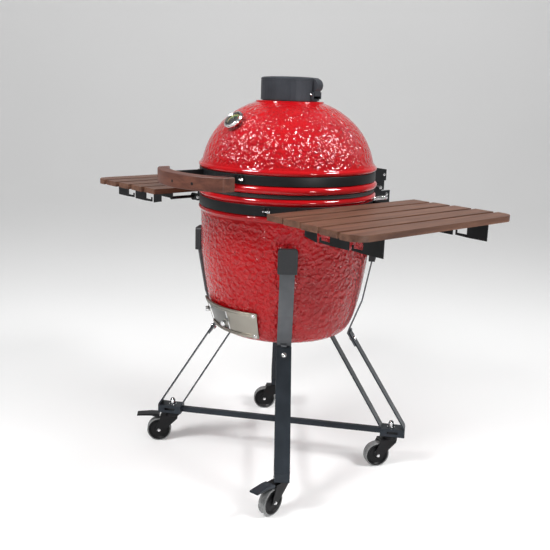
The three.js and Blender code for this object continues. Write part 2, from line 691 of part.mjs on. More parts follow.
// ---- side shelves, drawn on the +X side ----
function slatShape(index) {
  const left = SLAT_FIRST_X + index * SLAT_PITCH;
  const right = left + SLAT_WIDTH;
  const reach = SLAT_HALF_LENGTH + index * SLAT_FLARE;
  if (index < SLAT_COUNT - 1) {
    return outline([[left, -reach], [right, -reach], [right, reach], [left, reach]]);
  }
  const corner = SHELF_CORNER_RADIUS;
  const shape = new THREE.Shape();
  shape.moveTo(left, -reach);
  shape.lineTo(right - corner, -reach);
  shape.absarc(right - corner, -reach + corner, corner, -Math.PI / 2, 0, false);
  shape.lineTo(right, reach - corner);
  shape.absarc(right - corner, reach - corner, corner, 0, Math.PI / 2, false);
  shape.lineTo(left, reach);
  return shape;
}

function slat(index) {
  const flat = plateXY(slatShape(index), [SHELF_TOP_Z - SLAT_THICKNESS, SHELF_TOP_Z]);
  return flat.translate([0, SLAT_SHIFT_Y, 0]);
}

// a rail hangs under the slats as a strip with three plates, two of them ending in tool hooks
function railShape() {
  const top = SHELF_TOP_Z - SLAT_THICKNESS - GAP;
  const strip = top - RAIL_STRIP_HEIGHT;
  const bottom = top - RAIL_PLATE_HEIGHT;
  const [innerPlate, middlePlate, outerPlate] = RAIL_PLATES_X;
  const hook = (root) => [
    [root - 4, strip], [root - 4, bottom + 8], [root - HOOK_REACH + 5, bottom + 8],
    [root - HOOK_REACH + 5, bottom + 16], [root - HOOK_REACH, bottom + 16],
    [root - HOOK_REACH, bottom + 2], [root, bottom],
  ];
  return outline([
    [RAIL_START_X, top], [RAIL_START_X, strip], [innerPlate[0], strip],
    [innerPlate[0], bottom + 9], [innerPlate[1], bottom], [innerPlate[1], strip],
    ...hook(middlePlate[0]), [middlePlate[1], bottom], [middlePlate[1], strip],
    ...hook(outerPlate[0]), [outerPlate[1], bottom], [outerPlate[1], top],
  ]);
}

function shelfFrame() {
  const rails = [RAIL_FRONT_Y, RAIL_REAR_Y].map((y) => plateXZ(railShape(), RAIL_THICKNESS, y));
  const length = RAIL_REAR_Y - RAIL_FRONT_Y;
  const centre = [SHELF_PIVOT.x, (RAIL_REAR_Y + RAIL_FRONT_Y) / 2, SHELF_PIVOT.z];
  return join(...rails, rod(SHELF_ROD_RADIUS, length, Y_AXIS, centre, 12));
}

// arms of the lower band that carry the shelf's pivot rod
function shelfArm(side, y) {
  const [low, high] = LOWER_BAND_Z;
  const onBand = Math.sqrt(BAND_RADIUS ** 2 - (Math.abs(y) + 2) ** 2) - 1;
  const { x, z } = SHELF_PIVOT;
  const eye = steps(6).map((t) => {
    const turn = degrees(-100 + 190 * t);
    return [x + SHELF_EYE_RADIUS * Math.cos(turn), z + SHELF_EYE_RADIUS * Math.sin(turn)];
  });
  const shape = outline([
    [onBand, low + 1], [250, low - 10], ...eye, [264, z + SHELF_EYE_RADIUS], [258, high - 1],
    [onBand, high - 1],
  ].map(([across, up]) => [side * across, up]));
  const bore = rod(SHELF_ROD_RADIUS + 0.8, 40, Y_AXIS, [side * SHELF_PIVOT.x, y, SHELF_PIVOT.z], 12);
  return plateXZ(shape, 4, y).subtract(bore);
}

function lowerBand() {
  const arms = [-1, 1].flatMap((side) => [-SHELF_ARM_Y, SHELF_ARM_Y].map((y) => shelfArm(side, y)));
  return join(band(LOWER_BAND_Z), ...arms);
}

// ---- put it together ----
const gaugeHole = rod(3.2, 120, Z_AXIS, [0, 0, -20], 12).transform(gaugeMatrix().elements);

place('base_shell', baseShell(), glaze);
place('dome_shell', domeShell().subtract(gaugeHole), glaze);
place('base_gasket', gasket(RIM_Z + GAP), felt);
place('dome_gasket', gasket(DOME_RIM_Z - GAP - GASKET_HEIGHT), felt);
place('upper_band', band(UPPER_BAND_Z), blackSteel);
place('lower_band', lowerBand(), blackSteel);
place('fire_box', fireBox(), fireclay);
place('fire_ring', fireRing(), fireclay);
place('charcoal_grate', roundGrate(138, FIRE_BOX_BOTTOM + 60 + GAP, 8, 10, 6), castIron);
place('cooking_grate', roundGrate(226, FIRE_RING_TOP + GAP, 7, 7, 9), stainless);
place('chimney_base', capBase().rotate([0, 0, CAP_TURN]), castIron);
place('chimney_lid', capLid().rotate([0, 0, CAP_TURN]), castIron);
place('chimney_damper', damper(), castIron);
place('thermometer', thermometer(), chrome);
place('hinge_lower_bracket', hingeLower(), blackSteel);
place('hinge_upper_bracket', hingeUpper(), blackSteel);
place('hinge_pin', hingePin(), chrome);
place('hinge_spring_left', hingeSpring(-1), chrome);
place('hinge_spring_right', hingeSpring(1), chrome);
place('handle_bar', handleBar(), walnut);
place('handle_bracket', handleBracket(), blackSteel);
place('vent_frame', ventFrame(), stainless);
place('vent_door', ventDoor(), stainless);
place('vent_screen', ventScreen(), stainless);

const [barOver, barUnder] = crossBars();
place('cross_bar_upper', barOver, blackSteel);
place('cross_bar_lower', barUnder, blackSteel);

// corner name, direction of the leg, and the way its caster trails at rest
const CORNERS = [
  { corner: 'front_left', angle: LEG_ANGLE - 180, trail: -125, braked: true },
  { corner: 'front_right', angle: -LEG_ANGLE, trail: -80, braked: true },
  { corner: 'rear_right', angle: LEG_ANGLE, trail: -115, braked: false },
  { corner: 'rear_left', angle: 180 - LEG_ANGLE, trail: -130, braked: false },
];

for (const { corner, angle, trail, braked } of CORNERS) {
  const leg = new THREE.Group();
  leg.rotation.z = degrees(angle);
  grill.add(leg);
  place(`upper_strap_${corner}`, upperStrap(), blackSteel, leg);
  place(`strap_pad_${corner}`, strapPad(), rubber, leg);
  place(`lower_leg_${corner}`, lowerLeg(), blackSteel, leg);

  const caster = new THREE.Group();
  const x = STEM_RADIUS_POSITION * Math.cos(degrees(angle));
  const y = STEM_RADIUS_POSITION * Math.sin(degrees(angle));
  caster.position.set(x, y, 0);
  caster.rotation.z = degrees(trail);
  grill.add(caster);
  place(`caster_fork_${corner}`, casterFork(), nylon, caster);
  place(`caster_wheel_${corner}`, casterWheel(), tread, caster);
  if (braked) {
    place(`brake_pedal_${corner}`, brakePedal(), nylon, caster);
  }
}

for (const [sideName, side] of [['right', 1], ['left', -1]]) {
  const toSide = (piece) => (side > 0 ? piece : piece.mirror([1, 0, 0]));
  for (let index = 0; index < SLAT_COUNT; index += 1) {
    place(`shelf_slat_${sideName}_${index + 1}`, toSide(slat(index)), walnut);
  }
  place(`shelf_frame_${sideName}`, toSide(shelfFrame()), blackSteel);
}

export default grill;
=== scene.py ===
"""Kamado ceramic grill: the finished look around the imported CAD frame."""
import math

import bmesh
import bpy
from mathutils import Matrix, Vector


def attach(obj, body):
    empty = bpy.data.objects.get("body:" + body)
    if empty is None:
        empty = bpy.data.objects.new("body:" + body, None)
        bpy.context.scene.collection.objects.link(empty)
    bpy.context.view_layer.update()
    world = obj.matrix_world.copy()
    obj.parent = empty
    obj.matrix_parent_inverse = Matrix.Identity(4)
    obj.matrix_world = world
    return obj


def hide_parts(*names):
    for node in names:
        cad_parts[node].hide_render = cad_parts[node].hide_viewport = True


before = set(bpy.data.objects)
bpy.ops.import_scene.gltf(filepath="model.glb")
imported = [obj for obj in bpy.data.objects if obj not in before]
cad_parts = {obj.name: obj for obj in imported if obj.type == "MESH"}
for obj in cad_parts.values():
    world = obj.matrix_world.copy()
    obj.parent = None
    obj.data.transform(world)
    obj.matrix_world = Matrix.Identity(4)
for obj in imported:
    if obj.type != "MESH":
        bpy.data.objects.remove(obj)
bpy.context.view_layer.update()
scene = bpy.context.scene

MM = 0.001
CORNERS = ("front_left", "front_right", "rear_right", "rear_left")
FOOT_X, FOOT_Y = 321.5, 261.8
LEG_ANGLE = math.degrees(math.atan2(FOOT_Y, FOOT_X))
LEG_ANGLES = dict(zip(CORNERS, (LEG_ANGLE - 180, -LEG_ANGLE, LEG_ANGLE, 180 - LEG_ANGLE)))
TRAILS = dict(zip(CORNERS, (-125, -80, -115, -130)))
STEM_RADIUS = 366
VIEW_FROM = (1.8412, -1.6032, 1.1878)
VIEW_AZIMUTH = 49.62
VIEW_PITCH = 13.497
VIEW_ROLL = 1.79
SLAT_FIRST_X = 275
SLAT_PITCH = 72
SLAT_WIDTH = 60
TAU = 2 * math.pi


# ---- camera ----
def add_camera():
    turn, pitch, roll = (math.radians(a) for a in (VIEW_AZIMUTH, VIEW_PITCH, VIEW_ROLL))
    ahead = Vector((-math.sin(turn), math.cos(turn), 0))
    across = Vector((math.cos(turn), math.sin(turn), 0))
    look = ahead * math.cos(pitch) - Vector((0, 0, math.sin(pitch)))
    up = Vector((0, 0, math.cos(pitch))) + ahead * math.sin(pitch)
    cam_x = across * math.cos(roll) + up * math.sin(roll)
    cam_y = up * math.cos(roll) - across * math.sin(roll)
    data = bpy.data.cameras.new("camera")
    data.lens = 51.96
    data.sensor_width = 36
    camera = bpy.data.objects.new("camera", data)
    matrix = Matrix.Identity(4)
    for column, axis in enumerate((cam_x, cam_y, -look)):
        for row in range(3):
            matrix[row][column] = axis[row]
    matrix.translation = Vector(VIEW_FROM)
    camera.matrix_world = matrix
    scene.collection.objects.link(camera)
    scene.camera = camera


add_camera()


# ---- materials ----
class Look:
    """A node material with a few helpers for building its graph."""

    def __init__(self, name):
        self.material = bpy.data.materials.new(name)
        self.material.use_nodes = True
        self.tree = self.material.node_tree
        self.shader = self.tree.nodes["Principled BSDF"]

    def feed(self, target, value):
        if isinstance(value, bpy.types.NodeSocket):
            self.tree.links.new(value, target)
        else:
            target.default_value = value

    def node(self, kind, **inputs):
        made = self.tree.nodes.new(kind)
        for key, value in inputs.items():
            socket = key.replace("_", " ")
            if socket in made.inputs:
                self.feed(made.inputs[socket], value)
            else:
                setattr(made, key, value)
        return made

    def set(self, **values):
        for key, value in values.items():
            self.feed(self.shader.inputs[key.replace("_", " ")], value)

    def calculate(self, operation, *values):
        made = self.node("ShaderNodeMath", operation=operation)
        for target, value in zip(made.inputs, values):
            self.feed(target, value)
        return made.outputs["Value"]

    def coords(self, scale=(1, 1, 1)):
        where = self.node("ShaderNodeTexCoord").outputs["Object"]
        mapping = self.node("ShaderNodeMapping", Vector=where)
        mapping.inputs["Scale"].default_value = scale
        return mapping.outputs["Vector"]

    def noise(self, vector, scale, detail=3.0, roughness=0.5, distortion=0.0):
        made = self.node("ShaderNodeTexNoise", Vector=vector, Scale=scale, Detail=detail,
                         Roughness=roughness, Distortion=distortion)
        return made.outputs["Fac"]

    def ramp(self, factor, stops):
        made = self.node("ShaderNodeValToRGB", Fac=factor)
        band = made.color_ramp
        while len(band.elements) < len(stops):
            band.elements.new(0.5)
        for element, (position, colour) in zip(band.elements, stops):
            element.position = position
            element.color = (*colour, 1)
        return made.outputs["Color"]

    def grey(self, factor, low, high, start=0.0, end=1.0):
        made = self.node("ShaderNodeMapRange", Value=factor)
        limits = {"From Min": start, "From Max": end, "To Min": low, "To Max": high}
        for socket, value in limits.items():
            made.inputs[socket].default_value = value
        return made.outputs["Result"]

    def bump(self, height, strength, distance, normal=None):
        made = self.node("ShaderNodeBump", Height=height, Strength=strength, Distance=distance)
        if normal is not None:
            self.tree.links.new(normal, made.inputs["Normal"])
        return made.outputs["Normal"]


def glaze_look():
    look = Look("glaze_red")
    where = look.coords()
    tone = look.noise(where, 9, 3)
    reds = [(0.3, (0.37, 0.002, 0.005)), (0.7, (0.47, 0.005, 0.008))]
    look.set(Base_Color=look.ramp(tone, reds), IOR=1.5, Specular_IOR_Level=0.36,
             Roughness=look.grey(look.noise(where, 60, 2), 0.05, 0.09))
    wander = look.node("ShaderNodeTexNoise", Vector=where, Scale=60)
    warped = look.node("ShaderNodeMixRGB", Fac=0.02, Color1=where, Color2=wander.outputs["Color"])
    cells = look.node("ShaderNodeTexVoronoi", Vector=warped.outputs["Color"], Scale=84)
    cells.feature = "SMOOTH_F1"
    cells.inputs["Smoothness"].default_value = 0.35
    height = look.calculate("MULTIPLY_ADD", look.noise(where, 210, 2), 0.12, cells.outputs["Distance"])
    # the hammered dimples fade out, by height in metres, at the smooth rim rings and the neck
    z = look.node("ShaderNodeSeparateXYZ", Vector=where).outputs["Z"]
    above_rim = look.grey(z, 0, 1, 0.958, 0.972)
    below_neck = look.grey(z, 1, 0, 1.124, 1.134)
    below_rim = look.grey(z, 1, 0, 0.800, 0.812)
    dimpled = look.calculate("ADD", look.calculate("MULTIPLY", above_rim, below_neck), below_rim)
    relief = look.calculate("MULTIPLY", height, dimpled)
    ripple = look.bump(look.noise(where, 22, 1), 0.2, 0.002)
    look.set(Normal=look.bump(relief, 1.0, 0.0056, ripple))
    return look.material


def paint_look(name, colour, rough, metallic=0.0, speck=900, strength=0.12):
    look = Look(name)
    where = look.coords()
    tone = look.noise(where, 14, 4)
    dark = tuple(c * 0.8 for c in colour)
    light = tuple(min(c * 1.25, 1) for c in colour)
    look.set(Base_Color=look.ramp(tone, [(0.3, dark), (0.7, light)]), Metallic=metallic,
             Roughness=look.grey(look.noise(where, 40, 3), rough - 0.05, rough + 0.07),
             Specular_IOR_Level=0.2, Normal=look.bump(look.noise(where, speck, 2), strength, 0.0003))
    return look.material


def steel_look(name, colour, rough, stretch=(3, 3, 420)):
    look = Look(name)
    lines = look.noise(look.coords(stretch), 1.6, 4, 0.6)
    tone = look.noise(look.coords(), 18, 3)
    dark = tuple(c * 0.82 for c in colour)
    look.set(Base_Color=look.ramp(tone, [(0.25, dark), (0.75, colour)]), Metallic=1.0,
             Roughness=look.grey(lines, rough - 0.05, rough + 0.1),
             Normal=look.bump(lines, 0.08, 0.0003))
    return look.material


def wood_look(name, tones, along="Y", spacing=SLAT_PITCH * MM):
    """Long grain along one axis, with each board of the given spacing cut from another place."""
    look = Look(name)
    split = look.node("ShaderNodeSeparateXYZ", Vector=look.coords())
    start = (SLAT_FIRST_X - 4) * MM
    past_egg = look.calculate("SUBTRACT", look.calculate("ABSOLUTE", split.outputs["X"]), start)
    board = look.calculate("FLOOR", look.calculate("DIVIDE", past_egg, spacing))
    shift = look.calculate("MULTIPLY", board, 3.7)
    moved = look.calculate("ADD", split.outputs["Z"], shift)
    place = look.node("ShaderNodeCombineXYZ", X=split.outputs["X"], Y=split.outputs["Y"], Z=moved)
    long, wide = 2.2, 34
    scale = (wide, long, wide) if along == "Y" else (long, wide, wide)
    grain = look.node("ShaderNodeMapping", Vector=place.outputs["Vector"])
    grain.inputs["Scale"].default_value = scale
    broad = look.noise(grain.outputs["Vector"], 1.5, 5, 0.6, 0.6)
    fine = look.noise(grain.outputs["Vector"], 14, 3, 0.7)
    per_board = look.node("ShaderNodeTexWhiteNoise", noise_dimensions="1D", W=shift)
    both = look.calculate("MULTIPLY_ADD", fine, 0.35, broad)
    varied = look.calculate("MULTIPLY_ADD", per_board.outputs["Value"], 0.16, both)
    colour = look.ramp(varied, [(0.42, tones[0]), (0.68, tones[1]), (0.95, tones[2])])
    look.set(Base_Color=colour, Specular_IOR_Level=0.35, Roughness=look.grey(fine, 0.42, 0.6),
             Normal=look.bump(both, 0.22, 0.0008))
    return look.material


def spotted_look(name, low, high, rough, scale=300, strength=0.5, distance=0.001):
    look = Look(name)
    grains = look.noise(look.coords(), scale, 4, 0.65)
    look.set(Base_Color=look.ramp(grains, [(0.35, low), (0.65, high)]),
             Roughness=look.grey(grains, rough - 0.06, min(rough + 0.06, 1)),
             Normal=look.bump(grains, strength, distance))
    return look.material


def glass_look():
    look = Look("gauge_glass")
    smear = look.noise(look.coords(), 80, 2)
    look.set(Transmission_Weight=1.0, IOR=1.45, Roughness=look.grey(smear, 0.0, 0.03),
             Base_Color=(1, 1, 1, 1))
    return look.material


GLAZE = glaze_look()
BLACK = paint_look("black_powder_coat", (0.008, 0.009, 0.010), 0.42)
STRIP = paint_look("charcoal_strip", (0.026, 0.032, 0.040), 0.36, 0.3)
# the straps' lighter grey is painted light: the dark leg steel made paler for the light falling on their tops
LIT_STRAP_GREY = paint_look("grey_strip_painted_light", (0.105, 0.110, 0.118), 0.34, 0.45)
CAST = paint_look("cast_grey", (0.034, 0.038, 0.046), 0.5, 0.2, speck=520, strength=0.3)
NYLON = paint_look("moulded_black", (0.008, 0.008, 0.009), 0.38, speck=700, strength=0.08)
STAINLESS = steel_look("brushed_stainless", (0.34, 0.32, 0.28), 0.28)
SCREEN_STEEL = steel_look("screen_steel", (0.20, 0.20, 0.19), 0.34)
CHROME = steel_look("bright_chrome", (0.80, 0.80, 0.81), 0.12, (20, 20, 20))
SLAT_TONES = ((0.030, 0.012, 0.007), (0.094, 0.038, 0.021), (0.172, 0.078, 0.046))
BAR_TONES = ((0.028, 0.009, 0.006), (0.086, 0.026, 0.015), (0.150, 0.052, 0.030))
SLAT_WOOD = wood_look("slat_wood", SLAT_TONES)
BAR_WOOD = wood_look("bar_wood", BAR_TONES, along="X", spacing=1.0)
FELT = spotted_look("black_felt", (0.006, 0.006, 0.006), (0.022, 0.021, 0.020), 0.92)
RUBBER = spotted_look("pad_rubber", (0.009, 0.010, 0.012), (0.019, 0.021, 0.025), 0.60, 420, 0.15, 0.0004)
TREAD = spotted_look("grey_tread", (0.16, 0.165, 0.165), (0.27, 0.275, 0.275), 0.58, 160, 0.2, 0.0005)
CLAY = spotted_look("fireclay", (0.36, 0.27, 0.18), (0.58, 0.47, 0.34), 0.88, 130, 0.5, 0.001)
GLASS = glass_look()


# ---- meshes ----
def new_object(name, bm, material, smooth=38):
    bmesh.ops.remove_doubles(bm, verts=bm.verts, dist=1e-7)
    bmesh.ops.recalc_face_normals(bm, faces=bm.faces)
    data = bpy.data.meshes.new(name)
    bm.to_mesh(data)
    bm.free()
    data.materials.append(material)
    for face in data.polygons:
        face.use_smooth = True
    data.set_sharp_from_angle(angle=math.radians(smooth))
    made = bpy.data.objects.new(name, data)
    scene.collection.objects.link(made)
    return made


def piece(made, body, slot, *nodes):
    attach(made, body)
    if nodes:
        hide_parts(*nodes)
    return made


def bevel(made, width, segments=3, angle=32):
    modifier = made.modifiers.new("edges", "BEVEL")
    modifier.width = width * MM
    modifier.segments = segments
    modifier.limit_method = "ANGLE"
    modifier.angle_limit = math.radians(angle)
    modifier.harden_normals = True
    return made


def keep(node, material, width=0.8, segments=2):
    """Shows a CAD node as it is, with its finish and softened edges."""
    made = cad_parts[node]
    made.data.materials.clear()
    made.data.materials.append(material)
    for face in made.data.polygons:
        face.use_smooth = True
    made.data.set_sharp_from_angle(angle=math.radians(32))
    return bevel(made, width, segments)


def round_corners(points, radii, steps=6):
    """Rounds the corners of a closed outline; radii is one number or one per corner."""
    if not isinstance(radii, (list, tuple)):
        radii = [radii] * len(points)
    out = []
    count = len(points)
    for i, radius in enumerate(radii):
        here, before, after = (Vector(points[k % count]) for k in (i, i - 1, i + 1))
        if radius <= 0:
            out.append(tuple(here))
            continue
        to_before = (before - here).normalized()
        to_after = (after - here).normalized()
        half = to_before.angle(to_after) / 2
        if half > math.radians(88):
            out.append(tuple(here))
            continue
        shorter = min((before - here).length, (after - here).length)
        reach = min(radius / math.tan(half), 0.48 * shorter)
        start, end = here + to_before * reach, here + to_after * reach
        for k in range(steps + 1):
            t = k / steps
            out.append(tuple(start * (1 - t) ** 2 + here * 2 * t * (1 - t) + end * t ** 2))
    return out


def lathe_mesh(profile, sides=160, closed=True):
    """Turns a closed profile of (radius, height) in millimetres about Z."""
    bm = bmesh.new()
    rings = []
    for radius, z in profile:
        if radius < 1e-6:
            rings.append([bm.verts.new((0, 0, z * MM))])
        else:
            turns = (TAU * k / sides for k in range(sides))
            rings.append([bm.verts.new((radius * MM * math.cos(a), radius * MM * math.sin(a), z * MM))
                          for a in turns])
    following = rings[1:] + rings[:1] if closed else rings[1:]
    for low, high in zip(rings, following):
        for k in range(sides):
            n = (k + 1) % sides
            corners = [low[k % len(low)], low[n % len(low)],
                       high[n % len(high)], high[k % len(high)]]
            corners = list(dict.fromkeys(corners))
            if len(corners) > 2:
                bm.faces.new(corners)
    return bm


def lathe(name, profile, material, sides=160, matrix=None):
    closed = not (profile[0][0] < 1e-6 and profile[-1][0] < 1e-6)
    bm = lathe_mesh(profile, sides, closed)
    if matrix is not None:
        bmesh.ops.transform(bm, matrix=matrix, verts=bm.verts)
    return new_object(name, bm, material)


def prism_mesh(points, low, high, matrix=None):
    """Extrudes an outline in the XY plane between two heights, all in millimetres."""
    bm = bmesh.new()
    bottom = [bm.verts.new((x * MM, y * MM, low * MM)) for x, y in points]
    top = [bm.verts.new((x * MM, y * MM, high * MM)) for x, y in points]
    bm.faces.new(bottom[::-1])
    bm.faces.new(top)
    for i in range(len(points)):
        k = (i + 1) % len(points)
        bm.faces.new((bottom[i], bottom[k], top[k], top[i]))
    if matrix is not None:
        bmesh.ops.transform(bm, matrix=matrix, verts=bm.verts)
    return bm


def prism(name, points, low, high, material, matrix=None, edge=0.8, segments=3):
    made = new_object(name, prism_mesh(points, low, high, matrix), material)
    return bevel(made, edge, segments) if edge else made


def join_meshes(name, meshes, material):
    whole = bmesh.new()
    for bm in meshes:
        data = bpy.data.meshes.new("part")
        bm.to_mesh(data)
        bm.free()
        whole.from_mesh(data)
        bpy.data.meshes.remove(data)
    return new_object(name, whole, material)


def at(x, y, z, out=(0, 0, 1)):
    """A matrix at a point in millimetres whose Z looks along out."""
    turn = Vector(out).to_track_quat("Z", "Y").to_matrix().to_4x4()
    return Matrix.Translation(Vector((x, y, z)) * MM) @ turn


def polar(angle, radius, z):
    return (radius * math.cos(math.radians(angle)), radius * math.sin(math.radians(angle)), z)


# drawn planes: XZ and YZ outlines become prisms along Y and X
XZ = Matrix(((1, 0, 0, 0), (0, 0, -1, 0), (0, 1, 0, 0), (0, 0, 0, 1)))
YZ = Matrix(((0, 0, 1, 0), (1, 0, 0, 0), (0, 1, 0, 0), (0, 0, 0, 1)))


def rectangle(left, right, low, high):
    return [(left, low), (right, low), (right, high), (left, high)]


def hexagon(across):
    radius = across / 2 / math.cos(math.pi / 6)
    return [(radius * math.cos(TAU * k / 6), radius * math.sin(TAU * k / 6)) for k in range(6)]


def pan_head(size, base):
    rim = size * 0.85
    edge = base + 0.4
    profile = [(0, base), (rim, base), (rim, edge)]
    for t in range(1, 5):
        lean = t * math.pi / 12
        profile.append((rim * math.cos(lean), edge + size * 0.5 * math.sin(lean)))
    profile += [(size * 0.3, edge + size * 0.48), (size * 0.22, edge + size * 0.25), (0, edge + size * 0.25)]
    return lathe_mesh(profile, 24, False)


def bolt_meshes(matrix, size=5.0, head="hex", washer=True, length=0):
    """A screw head sitting at the matrix and looking along its Z."""
    meshes = []
    base = 0.0
    if washer:
        base = 1.1
        disc = [(0, 0), (size * 1.05, 0), (size * 1.15, 0.3), (size * 1.1, base), (0, base)]
        meshes.append(lathe_mesh(disc, 24, False))
    if head == "hex":
        end = size * 0.72
        stub = [(0, base), (end, base), (end, base + size * 0.7),
                (size * 0.55, base + size * 0.78), (0, base + size * 0.78)]
        meshes.append(prism_mesh(hexagon(size * 1.7), base, base + size * 0.65))
        meshes.append(lathe_mesh(stub, 20, False))
    else:
        meshes.append(pan_head(size, base))
    if length:
        shank = [(0, -length), (size * 0.5, -length), (size * 0.5, base), (0, base)]
        meshes.append(lathe_mesh(shank, 16, False))
    for bm in meshes:
        bmesh.ops.transform(bm, matrix=matrix, verts=bm.verts)
    return meshes


def bolts(name, places, body, size=5.0, head="hex", washer=True):
    meshes = []
    for matrix in places:
        meshes += bolt_meshes(matrix, size, head, washer)
    return piece(join_meshes(name, meshes, CHROME), body, "chrome")


def sweep_mesh(path, radius, sides=10):
    """A round bar along a path of points in millimetres."""
    bm = bmesh.new()
    points = [Vector(p) * MM for p in path]
    normal = None
    rings = []
    for i, point in enumerate(points):
        ahead = (points[min(i + 1, len(points) - 1)] - points[max(i - 1, 0)]).normalized()
        if normal is None:
            normal = ahead.orthogonal().normalized()
        normal = (normal - ahead * normal.dot(ahead)).normalized()
        side = ahead.cross(normal)
        turns = (TAU * k / sides for k in range(sides))
        rings.append([bm.verts.new(point + (normal * math.cos(a) + side * math.sin(a)) * radius * MM)
                      for a in turns])
    for low, high in zip(rings, rings[1:]):
        for k in range(sides):
            n = (k + 1) % sides
            bm.faces.new((low[k], low[n], high[n], high[k]))
    bm.faces.new(rings[0][::-1])
    bm.faces.new(rings[-1])
    return bm


def arc_points(cx, cz, rx, rz, start, end, steps=8):
    angles = [math.radians(start + (end - start) * k / steps) for k in range(steps + 1)]
    return [(cx + rx * math.cos(a), cz + rz * math.sin(a)) for a in angles]


# ---- ceramic shells ----
WALL = 25
BELLY_Z = 697
EGG_BOTTOM = 437.6
NECK_Z = 1139
NECK_RADIUS = 93
DOME_CENTRE_Z = 724
DOME_WIDEST = 271.6
DOME_FOOT_Z = 961


def bowl_curve(belly, foot, bottom, count):
    out = []
    for k in range(count + 1):
        drop = math.sin(k / count * math.pi / 2)
        radius = foot + (belly - foot) * (1 - drop) ** (1 / 3.2)
        out.append((radius, BELLY_Z - (BELLY_Z - bottom) * drop))
    return out


def dome_radius(z):
    rise = (z - DOME_CENTRE_Z) / (NECK_Z - DOME_CENTRE_Z)
    return NECK_RADIUS + (DOME_WIDEST - NECK_RADIUS) * max(1 - rise ** 4.6, 0) ** (1 / 1.26)


def base_shell():
    profile = [(238, 878.6), (262, 878.6)]
    profile += arc_points(262, 870.5, 9.5, 8.1, 90, -55, 10)
    profile += [(264.4, 860.5), (264.4, 829.5)]
    profile += arc_points(262.5, 822.5, 8, 6.5, 65, -60, 8)
    profile += [(263.8, 812), (262.6, 790), (261.6, 750)]
    profile += bowl_curve(261, 167, EGG_BOTTOM, 40)
    profile += [(163, 437.2), (0, 437.2), (0, 462)]
    profile += bowl_curve(236, 142, 462, 16)[::-1]
    profile += [(238, 819)]
    return lathe("base_shell_glazed", profile, GLAZE, 192)


def dome_shell():
    profile = [(238, 891.2), (262, 891.2)]
    profile += arc_points(262.5, 902.6, 11.2, 11.2, -80, 70, 12)
    profile += [(264.4, 914.5), (264.4, 942.5)]
    profile += arc_points(262, 950.5, 9.2, 8.0, -65, 62, 10)
    profile += [(265.2, 959.5)]
    steps = 44
    top = 1136 - DOME_FOOT_Z
    zs = [DOME_FOOT_Z + top * math.sin(k / steps * math.pi / 2) for k in range(1, steps + 1)]
    profile += [(dome_radius(z) - 2.0 * max(0, 1 - (z - DOME_FOOT_Z) / 6), z) for z in zs]
    profile += arc_points(99, 1138.4, 3.6, 3.2, -20, 90, 6)
    profile += [(86, 1141.4), (84.5, NECK_Z), (66, NECK_Z), (66, 1114)]
    profile += [(dome_radius(z) - WALL, z - WALL * (z - 960) / 180) for z in zs[::-4]]
    profile += [(238, 913)]
    return lathe("dome_shell_glazed", profile, GLAZE, 192)


piece(base_shell(), "cart", "glazed_red", "base_shell")
piece(dome_shell(), "dome", "glazed_red", "dome_shell")


def felt_ring(name, low, body, node):
    inner, edge, thick = 242, 265.5, 5.6
    profile = [(inner, low), (edge, low)]
    profile += arc_points(265, low + thick / 2, 1.6, 2.6, -70, 70, 5)
    profile += [(edge, low + thick), (inner, low + thick)]
    piece(lathe(name, profile, FELT, 160), body, "felt", node)


felt_ring("base_felt", 879.3, "cart", "base_gasket")
felt_ring("dome_felt", 885.1, "dome", "dome_gasket")


# ---- steel bands ----
BAND_INNER = 265
BAND_OUTER = 268.4


def band(name, low, high, body, node=None):
    profile = round_corners(rectangle(BAND_INNER, BAND_OUTER, low, high), 1.0, 3)
    piece(lathe(name, profile, BLACK, 192), body, "black_steel", *([node] if node else []))


band("upper_band_steel", 915, 942, "dome", "upper_band")
band("lower_band_steel", 830, 859, "cart")


def shelf_arm(side, y):
    front = math.sqrt(268 ** 2 - (abs(y) + 2) ** 2) - 1
    eye = arc_points(290, 827, 12, 12, -100, 90, 12)
    outline = [(front, 831), (250, 820)] + eye + [(264, 839), (258, 858), (front, 858)]
    return prism_mesh([(side * a, z) for a, z in outline], -y - 2, -y + 2, XZ)


arms = [shelf_arm(side, y) for side in (-1, 1) for y in (-150, 150)]
piece(bevel(join_meshes("shelf_arms", arms, BLACK), 0.6, 2), "cart", "black_steel", "lower_band")


def band_clamps(name, angles, radius, z, body):
    """Band joints: two folded ears drawn together by a screw."""
    ears, screws = [], []
    outline = round_corners(rectangle(-1, 10, -10, 10), [0, 3, 3, 0], 4)
    for angle in angles:
        turn = Matrix.Rotation(math.radians(angle), 4, "Z")
        local = turn @ Matrix.Translation((radius * MM, 0, z * MM))
        for side, head in ((-1, "pan"), (1, "hex")):
            ears.append(prism_mesh(outline, side * 6 - 1, side * 6 + 1, local @ XZ))
            screws += bolt_meshes(local @ at(5, side * 7, 0, (0, side, 0)), 4.2, head)
        screws += bolt_meshes(local @ at(5, 5, 0, (0, -1, 0)), 4.0, "hex", False)
        shaft = lathe_mesh([(0, -7), (2.4, -7), (2.4, 7), (0, 7)], 16, False)
        bmesh.ops.transform(shaft, matrix=local @ at(5, 0, 0, (0, 1, 0)), verts=shaft.verts)
        screws.append(shaft)
    piece(bevel(join_meshes(f"{name}_ears", ears, BLACK), 0.4, 2), body, "black_steel")
    piece(join_meshes(f"{name}_screws", screws, CHROME), body, "chrome")


band_clamps("lower_clamp", (-52.7, -127.3, 60, 120), BAND_OUTER, 844.5, "cart")
band_clamps("upper_clamp", (-69.4, -110.6), BAND_OUTER + 3, 928.5, "dome")

# ---- handle ----
HANDLE_R = 250
HANDLE_CY = -170
HANDLE_LENGTH = 320
HANDLE_DEPTH = 40
HANDLE_LOW, HANDLE_HIGH = 905, 945


def handle_arc(offset, start, end):
    steps = 32
    angles = [start + (end - start) * k / steps for k in range(steps + 1)]
    return [(HANDLE_R * math.sin(a), HANDLE_CY + offset - HANDLE_R * math.cos(a)) for a in angles]


